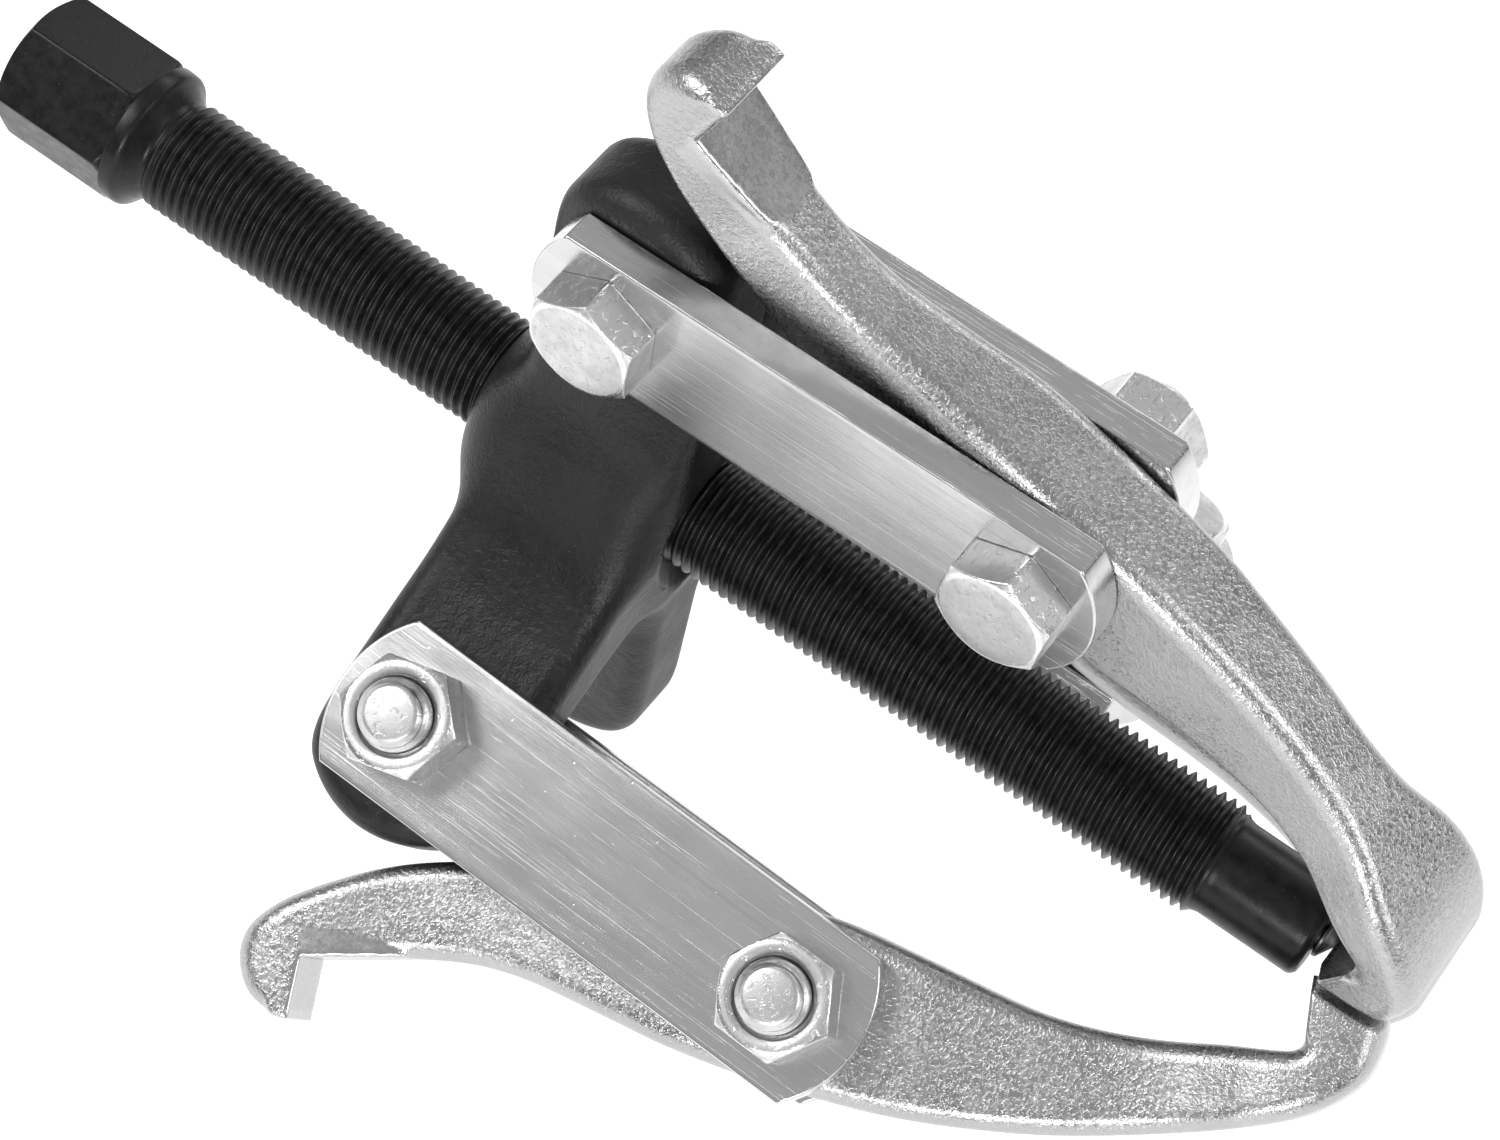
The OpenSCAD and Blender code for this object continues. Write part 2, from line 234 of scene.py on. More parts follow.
def thread_rows(start, end, r_start, r_end, pitch, major, depth, slope=0.9):
    """Rows of a right-hand thread between two plain rings. Each row follows the helix."""
    steps = np.array([0, 0.07, 0.235, 0.4, 0.5, 0.6, 0.765, 0.93])
    fall = np.array([0, 0.06, 0.5, 0.94, 1, 0.94, 0.5, 0.06])
    first = math.floor(start / pitch) - 2
    last = math.ceil(end / pitch) + 1
    return {"per_pitch": len(steps),
            "rows": [(pitch * (k + s), f) for k in range(first, last + 1) for s, f in zip(steps, fall)],
            "start": start, "end": end, "r_start": r_start, "r_end": r_end, "pitch": pitch,
            "major": major, "depth": depth, "slope": slope}


def turned_mesh(theta, parts, closed=False):
    """Points (along, across, across) and faces of a piece made of rings about an axis, and its crest share,
    which marks both wear and a painted highlight.
    A part is a ring (along, radius), a ring (along, radius, af) limited to a hex, or thread_rows()."""
    points, faces, crest = [], [], []
    n = len(theta)
    lead = theta / (2 * math.pi)

    def ring(along, radius, wear_and_sheen=0.0):
        radius = np.broadcast_to(radius, (n,))
        points.extend(np.stack([np.broadcast_to(along, (n,)), radius * np.cos(theta),
                                radius * np.sin(theta)], 1).tolist())
        crest.extend(np.broadcast_to(wear_and_sheen, (n,)).tolist())
        return len(points) - n

    def strip(a, b, shift=0):
        for k in range(n):
            m = (k + 1) % n
            s = shift if m == 0 else 0
            faces.append((a + k, a + m + s, b + m + s, b + k))

    before = None
    first_ring = None
    for part in parts:
        if isinstance(part, dict):
            t = part
            turn_points = n * t["per_pitch"]
            for along, fall in t["rows"]:
                x = along + t["pitch"] * lead
                radius = t["major"] - t["depth"] * fall
                limit = np.minimum(t["r_start"] + (x - t["start"]) * t["slope"],
                                   t["r_end"] + (t["end"] - x) * t["slope"])
                radius = np.maximum(np.minimum(radius, limit), min(t["r_start"], t["r_end"]) - t["depth"])
                crest_wear_and_sheen = (1 - fall) * np.ones(n)
                low, high = x <= t["start"], x >= t["end"]
                radius = np.where(low, t["r_start"], np.where(high, t["r_end"], radius))
                x = np.clip(x, t["start"], t["end"])
                now = ring(x, radius, np.where(low | high, 0, crest_wear_and_sheen))
                strip(before, now, 0 if before_plain else turn_points)
                before, before_plain = now, False
            # the rows past the end are all on the end ring, so the last pitch of them has no turn to join
            del faces[-turn_points:]
            before -= turn_points
            before_plain = True
            continue
        along, radius = part[0], part[1]
        r = np.full(n, float(radius))
        if len(part) > 2:
            r = smooth_min(r, hex_radius(theta, part[2]), 0.1)
        now = ring(along, r)
        if before is not None:
            strip(before, now)
        if first_ring is None:
            first_ring = now
        before, before_plain = now, True
    if closed:
        strip(before, first_ring)
    return np.array(points), faces, np.array(crest)


def tidy_mesh(mesh, gap):
    """Joins points that meet, drops what that leaves with no area, and turns every face outwards."""
    bm = bmesh.new()
    bm.from_mesh(mesh)
    bmesh.ops.remove_doubles(bm, verts=bm.verts, dist=gap)
    bmesh.ops.dissolve_degenerate(bm, edges=bm.edges, dist=gap)
    loose = [v for v in bm.verts if not v.link_faces]
    bmesh.ops.delete(bm, geom=loose, context="VERTS")
    bmesh.ops.recalc_face_normals(bm, faces=bm.faces)
    bm.to_mesh(mesh)
    bm.free()


# ---------------------------------------------------------------- placing

def turn_about_x(degrees):
    return Matrix.Rotation(math.radians(degrees), 4, "X")


def link_place(x):
    """Where a bolt's or strap's own frame lies on an upright arm, x along the straps."""
    return (Matrix.Translation((0, 0, LUG_REACH)) @ Matrix.Rotation(math.radians(-STRAP_LEAN), 4, "Y")
            @ Matrix.Translation((x, 0, 0)))


JAW_PLACE = link_place(STRAP_CENTRES) @ Matrix.Rotation(math.radians(STRAP_LEAN + JAW_LEAN), 4, "Y")
# A turned piece's axis, drawn along its first coordinate, goes to +Y, so its hex turns as the CAD's does
AXIS_TO_Y = Matrix(((0, 1, 0, 0), (1, 0, 0, 0), (0, 0, -1, 0), (0, 0, 0, 1)))


def add_piece(name, points, faces, place, body, look, nodes, shift=0.0, values=None, weld=0.0,
              flat_shaded=None):
    """Makes a piece from points in millimetres in its own frame. place puts that frame in the row's frame."""
    mesh = bpy.data.meshes.new(name)
    mesh.from_pydata(np.asarray(points, float).tolist(), [], [tuple(map(int, f)) for f in faces])
    local = mesh.attributes.new("local", "FLOAT_VECTOR", "POINT")
    local.data.foreach_set("vector", (np.asarray(points, float) + shift).astype(np.float32).ravel())
    for key, value in (values or {}).items():
        mesh.attributes.new(key, "FLOAT", "POINT").data.foreach_set("value", np.asarray(value, np.float32))
    if weld:
        tidy_mesh(mesh, weld)
    mesh.transform(Matrix.Scale(MM, 4) @ place)
    if (Matrix.Scale(MM, 4) @ place).determinant() < 0:
        mesh.flip_normals()
    mesh.polygons.foreach_set("use_smooth", [True] * len(mesh.polygons))
    mesh.materials.append(look)
    piece = bpy.data.objects.new(name, mesh)
    bpy.context.scene.collection.objects.link(piece)
    if flat_shaded:
        bm = bmesh.new()
        bm.from_mesh(mesh)
        for edge in bm.edges:
            if len(edge.link_faces) == 2 and edge.calc_face_angle(0) > math.radians(flat_shaded):
                edge.smooth = False
        bm.to_mesh(mesh)
        bm.free()
        weighted = piece.modifiers.new("flat faces stay flat", "WEIGHTED_NORMAL")
        weighted.keep_sharp = True
    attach(piece, body)
    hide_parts(*nodes)
    return piece


# ---------------------------------------------------------------- materials

class Look:
    """A material under construction. Its textures read each piece's own millimetres."""

    def __init__(self, name):
        self.material = bpy.data.materials.new(name)
        self.material.use_nodes = True
        self.tree = self.material.node_tree
        self.shader = self.tree.nodes["Principled BSDF"]
        self.local = self.attribute("local", "Vector")

    def attribute(self, name, output="Fac"):
        node = self.tree.nodes.new("ShaderNodeAttribute")
        node.attribute_name = name
        return node.outputs[output]

    def stretched(self, scale, turn=(0, 0, 0)):
        node = self.tree.nodes.new("ShaderNodeMapping")
        node.inputs["Scale"].default_value = scale
        node.inputs["Rotation"].default_value = [math.radians(a) for a in turn]
        self.tree.links.new(self.local, node.inputs["Vector"])
        return node.outputs["Vector"]

    def noise(self, scale, detail=3, rough=0.5, distort=0.0, vector=None):
        node = self.tree.nodes.new("ShaderNodeTexNoise")
        node.inputs["Scale"].default_value = scale
        node.inputs["Detail"].default_value = detail
        node.inputs["Roughness"].default_value = rough
        node.inputs["Distortion"].default_value = distort
        self.tree.links.new(vector or self.local, node.inputs["Vector"])
        return node.outputs["Fac"]

    def cells(self, scale):
        node = self.tree.nodes.new("ShaderNodeTexVoronoi")
        node.inputs["Scale"].default_value = scale
        self.tree.links.new(self.local, node.inputs["Vector"])
        return node.outputs["Distance"]

    def span(self, value, low, high, to_low, to_high):
        """value, taken smoothly from low..high to to_low..to_high and held there."""
        node = self.tree.nodes.new("ShaderNodeMapRange")
        node.interpolation_type = "SMOOTHSTEP"
        for name, number in (("From Min", low), ("From Max", high), ("To Min", to_low), ("To Max", to_high)):
            node.inputs[name].default_value = number
        self.tree.links.new(value, node.inputs["Value"])
        return node.outputs["Result"]

    def math(self, operation, a, b):
        node = self.tree.nodes.new("ShaderNodeMath")
        node.operation = operation
        for socket, value in zip(node.inputs, (a, b)):
            if isinstance(value, (int, float)):
                socket.default_value = value
            else:
                self.tree.links.new(value, socket)
        return node.outputs[0]

    def mix(self, share, a, b):
        """Colour a where share is 0, and b where it is 1."""
        node = self.tree.nodes.new("ShaderNodeMix")
        node.data_type = "RGBA"
        self.tree.links.new(share, node.inputs["Factor"])
        for socket, value in ((node.inputs["A"], a), (node.inputs["B"], b)):
            if isinstance(value, tuple):
                socket.default_value = (*value, 1)
            else:
                self.tree.links.new(value, socket)
        return node.outputs["Result"]

    def bump(self, height, depth_mm, strength=1.0, under=None):
        node = self.tree.nodes.new("ShaderNodeBump")
        node.inputs["Strength"].default_value = strength
        node.inputs["Distance"].default_value = depth_mm * MM
        self.tree.links.new(height, node.inputs["Height"])
        if under is not None:
            self.tree.links.new(under, node.inputs["Normal"])
        return node.outputs["Normal"]

    def finish(self, colour=None, rough=None, normal=None, **fixed):
        for name, value in fixed.items():
            self.shader.inputs[name.replace("_", " ").title().replace("Ior", "IOR")].default_value = value
        for name, source in (("Base Color", colour), ("Roughness", rough), ("Normal", normal)):
            if source is not None:
                self.tree.links.new(source, self.shader.inputs[name])
        return self.material


def grey(level):
    return (level, level, level)


def zinc_forging():
    """Plated forging: a worm-like orange-peel grain, glossier on the rounded edges, which also get a painted
    highlight that makes them brighter.
    """
    m = Look("grainy_zinc_forging")
    edge = m.attribute("edge")
    smooth = m.attribute("machined")
    peel = m.noise(1.7, 2.0, 0.5, 1.0)
    fine = m.noise(3.4, 2, 0.5, 0.6)
    cloud = m.noise(0.07, 4, 0.6)
    speck = m.noise(0.55, 5, 0.7)
    grain = m.math("ADD", m.span(peel, 0.36, 0.62, 0, 1), m.math("MULTIPLY", fine, 0.5))
    rough = m.math("ADD", m.span(cloud, 0.3, 0.7, 0.25, 0.33), m.span(peel, 0.3, 0.7, 0.06, -0.04))
    rough = m.math("SUBTRACT", rough, m.math("MULTIPLY", edge, 0.06))
    tone = m.mix(m.span(cloud, 0.3, 0.72, 0, 1), grey(0.41), grey(0.47))
    tone = m.mix(m.span(peel, 0.30, 0.50, 0.05, 0), tone, grey(0.32))
    tone = m.mix(m.span(speck, 0.22, 0.30, 0.18, 0), tone, grey(0.30))
    # painted highlight: the rounded edges get a brighter colour, standing in for light glinting on the ridges
    tone = m.mix(m.math("MULTIPLY", edge, 0.5), tone, grey(0.60))
    tone = m.mix(m.math("MULTIPLY", smooth, 0.6), tone, grey(0.52))
    keep = m.span(smooth, 0, 1, 1, 0.08)
    marks = m.noise(1.0, 3, 0.6, 0, m.stretched((0.25, 4.5, 4.5)))
    milled = m.math("MULTIPLY", m.math("MULTIPLY", marks, smooth), 0.14)
    height = m.math("ADD", m.math("MULTIPLY", grain, keep), milled)
    swell = m.bump(m.noise(0.22, 2), 0.22, 0.5)
    return m.finish(tone, rough, m.bump(height, 0.05, 0.7, swell), metallic=1.0)


def zinc_bar():
    """Plated flat bar, drawn lengthwise: fine scratches along x, a few nicks and crossing scratches."""
    m = Look("drawn_zinc_bar")
    hair = m.noise(1.0, 5, 0.7, 0, m.stretched((0.014, 9, 9)))
    lines = m.noise(1.0, 3, 0.6, 0, m.stretched((0.03, 3.6, 3.6), (0, 1.5, 0)))
    wide = m.noise(1.0, 3, 0.5, 0, m.stretched((0.012, 0.55, 0.55)))
    cross = m.noise(1.0, 2, 0.5, 0, m.stretched((0.16, 7, 3), (0, 38, 0)))
    cloud = m.noise(0.11, 5, 0.65)
    nick = m.cells(0.33)
    line = m.span(lines, 0.61, 0.67, 0, 1)
    nicks = m.span(nick, 0.04, 0.07, 1, 0)
    rough = m.math("ADD", m.span(hair, 0.3, 0.7, 0.12, 0.22), m.span(cloud, 0.35, 0.7, 0, 0.05))
    rough = m.math("ADD", rough, m.math("MULTIPLY", line, 0.10))
    tone = m.mix(m.span(cloud, 0.3, 0.75, 0, 1), grey(0.66), grey(0.60))
    tone = m.mix(m.span(wide, 0.35, 0.65, 0, 0.4), tone, grey(0.54))
    tone = m.mix(m.math("MULTIPLY", line, 0.3), tone, grey(0.78))
    tone = m.mix(m.span(hair, 0.52, 0.72, 0, 0.28), tone, grey(0.42))
    height = m.math("ADD", m.math("MULTIPLY", hair, 0.7), m.math("MULTIPLY", line, -0.5))
    height = m.math("ADD", height, m.math("MULTIPLY", nicks, -0.8))
    height = m.math("ADD", height, m.span(cross, 0.66, 0.70, 0, -0.5))
    swell = m.bump(m.noise(0.07, 1), 0.30, 0.35)
    return m.finish(tone, rough, m.bump(height, 0.015, 0.7, swell), metallic=1.0)


def plated_fastener():
    """Plated hex: pale and a little cloudy, with small dings from the spanner."""
    m = Look("bright_zinc_fastener")
    edge = m.attribute("edge")
    cloud = m.noise(0.35, 4, 0.6, 0.4)
    fine = m.noise(4.5, 3, 0.6)
    ding = m.noise(0.9, 2, 0.5, 0.6)
    scuff = m.noise(1.0, 3, 0.6, 0.3, m.stretched((0.5, 3, 1.2), (20, 30, 10)))
    tone = m.mix(m.span(cloud, 0.3, 0.7, 0, 1), grey(0.54), grey(0.66))
    tone = m.mix(m.span(scuff, 0.60, 0.66, 0, 0.5), tone, grey(0.36))
    tone = m.mix(m.math("MULTIPLY", edge, 0.6), tone, grey(0.85))
    rough = m.math("ADD", m.span(cloud, 0.3, 0.7, 0.38, 0.27), m.span(fine, 0.3, 0.7, 0, 0.08))
    rough = m.math("SUBTRACT", rough, m.math("MULTIPLY", edge, 0.10))
    height = m.math("ADD", m.math("MULTIPLY", fine, 0.4), m.span(ding, 0.60, 0.68, 0, -0.8))
    height = m.math("ADD", height, m.span(scuff, 0.60, 0.66, 0, -0.5))
    return m.finish(tone, rough, m.bump(height, 0.055, 0.7), metallic=1.0)


def black_screw():
    """Oiled black oxide: nearly black, with crests lightened to dark grey, partly as wear and partly as a
    painted highlight, and small bright specks.
    """
    m = Look("black_oxide_thread")
    crest = m.attribute("crest")
    patch = m.noise(0.5, 4, 0.65)
    fine = m.noise(5, 3, 0.6)
    speck = m.cells(0.85)
    crest_wear_and_sheen = m.math("MULTIPLY", crest, m.span(patch, 0.35, 0.65, 0.1, 1))
    tone = m.mix(m.span(patch, 0.3, 0.7, 0, 1), grey(0.005), grey(0.010))
    # crests lightened towards dark grey: partly wear, partly a painted highlight where light catches the
    # thread crests
    tone = m.mix(m.math("MULTIPLY", crest_wear_and_sheen, 0.7), tone, grey(0.024))
    tone = m.mix(m.span(speck, 0.04, 0.08, 0.5, 0), tone, grey(0.14))
    rough = m.math("ADD", m.span(patch, 0.3, 0.7, 0.26, 0.38), m.math("MULTIPLY", crest_wear_and_sheen, -0.05))
    height = m.math("ADD", m.math("MULTIPLY", fine, 0.4), m.math("MULTIPLY", patch, 0.8))
    return m.finish(tone, rough, m.bump(height, 0.05, 0.7), metallic=0.0, specular_ior_level=0.28)


def black_forging():
    """Black oxide on a forging: satin, finely pebbled, with a few pits, and edges lightened partly as rubbing
    and partly as a painted sheen.
    """
    m = Look("black_oxide_forging")
    edge = m.attribute("edge")
    pebble = m.noise(0.85, 3, 0.6, 0.6)
    fine = m.noise(3.2, 2, 0.5)
    cloud = m.noise(0.08, 4, 0.6)
    pit = m.cells(0.5)
    tone = m.mix(m.span(cloud, 0.3, 0.7, 0, 1), grey(0.007), grey(0.013))
    # rounded edges lightened: partly rubbed, partly a painted sheen on the shoulders
    tone = m.mix(m.math("MULTIPLY", edge, 0.3), tone, grey(0.024))
    tone = m.mix(m.span(pit, 0.03, 0.06, 0.6, 0), tone, grey(0.10))
    rough = m.math("ADD", m.span(cloud, 0.3, 0.7, 0.36, 0.46), m.math("MULTIPLY", edge, -0.06))
    height = m.math("ADD", m.math("MULTIPLY", pebble, 1.0), m.math("MULTIPLY", fine, 0.4))
    height = m.math("ADD", height, m.span(pit, 0.03, 0.08, -0.5, 0))
    swell = m.bump(m.noise(0.16, 2), 0.5, 0.5)
    return m.finish(tone, rough, m.bump(height, 0.16, 0.9, swell), metallic=0.0, specular_ior_level=0.34)


def point_steel():
    """Hardened dark steel, turned: fine rings round the axis."""
    m = Look("turned_dark_steel")
    rings = m.noise(1.0, 3, 0.6, 0, m.stretched((7, 0.2, 0.2)))
    cloud = m.noise(0.8, 3)
    tone = m.mix(m.span(cloud, 0.3, 0.7, 0, 1), grey(0.10), grey(0.18))
    return m.finish(tone, m.span(rings, 0.3, 0.7, 0.25, 0.4), m.bump(rings, 0.02, 0.6), metallic=1.0)


JAW_LOOK, STRAP_LOOK, FASTENER_LOOK = zinc_forging(), zinc_bar(), plated_fastener()
SCREW_LOOK, YOKE_LOOK, POINT_LOOK = black_screw(), black_forging(), point_steel()


# ---------------------------------------------------------------- the jaws

side_outline = np.vstack([smooth_run(OUTER_RUN, 4), smooth_run(BACK_HOOK_RUN, 4), FRONT_TIP])
side_distance = Sampled(lambda x, z: outline_distance(x, z, side_outline), (-78, -19), (79, 19), 0.2)
half_width = smooth_run(WIDTH_RUN, 4)


def jaw_field(x, y, z):
    side = side_distance(x, z)
    width = (np.abs(y) - np.interp(x, half_width[:, 0], half_width[:, 1])) * 0.95
    # the hooks' pulling faces and the pad in front of the back hook are machined, so their edges are sharp
    front = ease((z + 4.3) / -3) * ease((x - 60.6) / 3) * ease((69.6 - x) / 3)
    back = ease((x + 68.6) / 2) * ease((-49 - x) / 3) * ease((z - 1.7) / 2)
    edge_r = JAW_EDGE_R - (JAW_EDGE_R - MILLED_EDGE_R) * np.clip(front + back, 0, 1)
    body = round_and(side, width, edge_r)
    lean = math.radians(JAW_LEAN)
    pivot = LUG_REACH + STRAP_CENTRES * math.sin(math.radians(STRAP_LEAN))
    up = pivot - math.sin(lean) * x + math.cos(lean) * z
    sector = 0.5 * np.abs(y) - math.sqrt(0.75) * (up - TIP_APEX)
    body = round_and(body, sector, 0.5)
    return np.maximum(body, PIVOT_R - np.hypot(x, z))


jaw_step = 0.4
jaw_points, jaw_faces = field_mesh(jaw_field, (-77, -13, -17), (78, 13, 16.5), jaw_step)


def edge_share(field, points, reach):
    """0 on a flat or hollow surface and up to 1 on a rounded edge, from how the field bends."""
    d, slope = field_slope(field, points)
    normal = slope / np.maximum(np.linalg.norm(slope, axis=1, keepdims=True), 1e-9)
    sunk = field(*(points - normal * reach).T)
    return np.clip((sunk + reach) / (0.35 * reach), 0, 1)


jaw_x, jaw_y, jaw_z = jaw_points.T
# the milled pad runs out in a curve, and the front hook's pulling face is milled too
pad = ease((jaw_x + 65.2) / 0.8) * ease((-48.5 - jaw_x - 0.1 * jaw_y ** 2) / 2.5) * ease((jaw_z - 0.9) / 0.8)
pulling_face = ease((jaw_x - 63) / 0.8) * ease((65.6 - jaw_x) / 0.8) * ease((-4.9 - jaw_z) / 0.8)
jaw_values = {"edge": edge_share(jaw_field, jaw_points, 1.6), "machined": np.clip(pad + pulling_face, 0, 1)}
for i, (arm, turn) in enumerate(TURNS.items()):
    add_piece(f"jaw_{arm}_forging", jaw_points, jaw_faces, turn_about_x(turn) @ JAW_PLACE, f"jaw_{arm}",
              JAW_LOOK, [f"jaw_{arm}"], shift=200 * i, values=jaw_values)


# ---------------------------------------------------------------- the yoke

def lug_field(x, y, z):
    half_t = LUG_HALF_T + (ROOT_HALF_T - LUG_HALF_T) * ease((TAPER_Z - z) / (TAPER_Z - ROOT_Z))
    outline = smooth_max(np.abs(x) - LUG_HALF_W, np.hypot(x, np.maximum(z - LUG_REACH, 0)) - LUG_END_R, 3)
    slab = (np.abs(y) - half_t) * 0.97
    return np.maximum(round_and(outline, slab, LUG_EDGE_R), LUG_START_Z - z)


def from_lug(turn, y, z):
    """y and z as a lug has them: across it, and along it from the screw's axis."""
    a = math.radians(turn)
    return y * math.cos(a) + z * math.sin(a), -y * math.sin(a) + z * math.cos(a)


def yoke_field(x, y, z):
    rho = np.hypot(y, z)
    middle = (BOSS_FRONT - BOSS_BACK) / 2
    half = (BOSS_FRONT + BOSS_BACK) / 2
    edge_r = np.where(x < middle, BOSS_BACK_EDGE_R, BOSS_FRONT_EDGE_R)
    body = round_and(np.abs(x - middle) - half, rho - BOSS_R, edge_r)
    for turn in LUG_TURNS:
        across, along = from_lug(turn, y, z)
        body = smooth_min(body, lug_field(x, across, along), LUG_BLEND_R)
    bore = SCREW_D / 2 + 0.05 + np.maximum(0, np.abs(x - middle) - half + 0.9)
    body = np.maximum(body, (bore - rho) * 0.8)
    for turn in LUG_TURNS:
        across, along = from_lug(turn, y, z)
        hole = PIVOT_R + np.clip(np.abs(across) - LUG_HALF_T + 0.5, 0, 1)
        near = (along > 20) & (np.abs(across) < 11)
        body = np.maximum(body, np.where(near, (hole - np.hypot(x, along - LUG_REACH)) * 0.8, -9))
    return body


yoke_step = 0.5
yoke_points, yoke_faces = field_mesh(yoke_field, (-19.5, -57, -61), (15.5, 57, 61), yoke_step)
add_piece("yoke_forging", yoke_points, yoke_faces, Matrix.Identity(4), "yoke", YOKE_LOOK,
          ["yoke"], values={"edge": edge_share(yoke_field, yoke_points, 2.2)})


# ---------------------------------------------------------------- the forcing screw and its point

def corner_run(points, r, n=3):
    """A run of (along, radius) points with every corner between its ends rounded by a short curve."""
    p = [np.array(q, float) for q in points]
    out = [p[0]]
    for a, b, c in zip(p, p[1:], p[2:]):
        u, v = (a - b), (c - b)
        lu, lv = np.linalg.norm(u), np.linalg.norm(v)
        cut = min(r, 0.45 * lu, 0.45 * lv)
        s, e = b + u / lu * cut, b + v / lv * cut
        out += [(1 - t) ** 2 * s + 2 * t * (1 - t) * b + t * t * e for t in np.linspace(0, 1, n + 1)]
    return out + [p[-1]]


screw_angles = hex_angles()
head_corner = HEAD_AF / math.sqrt(3)
head_flat = HEAD_AF / 2 - 0.35
chamfer_drop = (head_corner - head_flat) * math.tan(math.radians(30))
# the outer end's disc, and the small round where the disc meets the chamfer
head_parts = [(a, r, HEAD_AF) for a, r in corner_run(
    [(HEAD_BACK, 0.01), (HEAD_BACK, head_flat), (HEAD_BACK + chamfer_drop, head_corner + 0.02),
     (HEAD_BACK + chamfer_drop + 0.4, head_corner + 0.5)], 0.35)]
head_parts[1:1] = [(HEAD_BACK, r, HEAD_AF) for r in (3, 6)]
cone = [(HEAD_BACK + chamfer_drop * t, head_flat + (head_corner - head_flat) * t, HEAD_AF)
        for t in np.linspace(0.15, 0.95, 8)]
head_parts = [p for p in head_parts if p[0] <= HEAD_BACK + 0.12] + cone + [
    (HEAD_BACK + chamfer_drop, head_corner + 0.3, HEAD_AF)]
head_parts += [(a, head_corner + 0.6, HEAD_AF) for a in np.linspace(HEAD_BACK + 2, HEAD_FRONT - 0.8, 7)]
# the head's thread end is rounded over, then a short collar and neck lead to the thread
head_parts += [(HEAD_FRONT - 0.35, head_corner - 0.25, HEAD_AF),
               (HEAD_FRONT - 0.1, head_corner - 0.7, HEAD_AF)]
neck = corner_run([(HEAD_FRONT, 10), (HEAD_FRONT + 0.1, 10.3), (HEAD_FRONT + 2.2, 10.15),
                   (HEAD_FRONT + 2.9, 9.2), (THREAD_BACK - 1.2, 8.2), (THREAD_BACK, NECK_R)], 0.8)
nose = corner_run([(THREAD_FRONT, RUNOUT_R), (THREAD_FRONT + 0.8, NOSE_D / 2), (NOSE_END - 0.8, NOSE_D / 2),
                   (NOSE_END, NOSE_D / 2 - 0.7), (NOSE_END, SOCKET_R), (NOSE_END - SOCKET_DEPTH, SOCKET_R),
                   (NOSE_END - SOCKET_DEPTH, 0.01)], 0.4)
screw_parts = head_parts + [(a, r) for a, r in neck]
screw_parts.append(thread_rows(THREAD_BACK, THREAD_FRONT, NECK_R, RUNOUT_R, SCREW_PITCH, SCREW_D / 2, 0.92))
screw_parts += [(a, r) for a, r in nose]
points, faces, crest = turned_mesh(screw_angles, screw_parts)
SCREW_PLACE = turn_about_x(HEAD_TURN)
add_piece("forcing_screw_threaded", points, faces, SCREW_PLACE, "screw", SCREW_LOOK,
          ["forcing_screw"], values={"crest": crest}, weld=WELD)

point_run = corner_run([(NOSE_END - 2.9, 0.01), (NOSE_END - 2.9, 2.5), (NOSE_END + 0.3, 2.5),
                        (NOSE_END + 0.3, 3.1), (NOSE_END + 0.8, 3.1), (NOSE_END + 2.3, 0.5),
                        (NOSE_END + 2.4, 0.01)], 0.15)
points, faces, _ = turned_mesh(np.linspace(0, 2 * math.pi, 48, endpoint=False), point_run)
add_piece("centre_point_turned", points, faces, Matrix.Identity(4), "point", POINT_LOOK,
          ["centre_point"], weld=WELD)


# ---------------------------------------------------------------- bolts and nuts

def hexed_cone(start, inward, af, steps=8):
    """Rings of a hex end's 30 degree chamfer. inward is +1 if the piece lies on the + side of start."""
    corner, flat = af / math.sqrt(3), af / 2 - 0.25
    drop = (corner - flat) * math.tan(math.radians(30))
    rings = [(start, flat - 0.25, af), (start + inward * 0.03, flat - 0.08, af),
             (start + inward * 0.1, flat + 0.1, af)]
    rings += [(start + inward * drop * t, flat + (corner - flat) * t, af) for t in np.linspace(0.2, 1, steps)]
    return rings + [(start + inward * (drop + 0.25), corner + 0.6, af)]


def bolt_parts():
    head_back = -STRAP_OUTER - HEAD_H
    bolt_end = STRAP_OUTER + NUT_H + BOLT_PROUD
    end_r = BOLT_D / 2 - 1.15
    parts = [(head_back, 0.01), (head_back, 2, HEX_AF), (head_back, 4.5, HEX_AF)]
    parts += hexed_cone(head_back, 1, HEX_AF)
    parts += [(a, HEX_AF, HEX_AF) for a in (head_back + 2.5, -STRAP_OUTER - 0.6, -STRAP_OUTER - 0.25)]
    parts += [(-STRAP_OUTER - 0.08, 8.1, HEX_AF), (-STRAP_OUTER, 7.0, HEX_AF), (-STRAP_OUTER, BOLT_D / 2),
              (STRAP_OUTER, BOLT_D / 2), (STRAP_OUTER + 4, BOLT_D / 2), (STRAP_OUTER + 4.4, BOLT_D / 2 - 0.9)]
    parts.append(thread_rows(STRAP_OUTER + 4.5, bolt_end - 0.25, BOLT_D / 2 - 0.9, end_r + 0.05, BOLT_PITCH,
                             BOLT_D / 2, 0.85, 0.85))
    parts += [(bolt_end - 0.12, end_r - 0.15), (bolt_end - 0.05, end_r - 0.6), (bolt_end - 0.02, 1.2),
              (bolt_end, 0.01)]
    return parts


def nut_parts():
    low, high = STRAP_OUTER, STRAP_OUTER + NUT_H
    up = hexed_cone(low, 1, HEX_AF)
    down = hexed_cone(high, -1, HEX_AF)[::-1]
    parts = [(low, BOLT_D / 2 + 0.4), (low, 6)] + up
    parts += [(a, HEX_AF, HEX_AF) for a in (low + 2.6, high - 2.6)] + down
    parts += [(high, BOLT_D / 2 + 0.75), (high - 0.1, BOLT_D / 2 + 0.6), (high - 0.7, BOLT_D / 2 + 0.03),
              (low + 0.4, BOLT_D / 2 + 0.03)]
    return parts


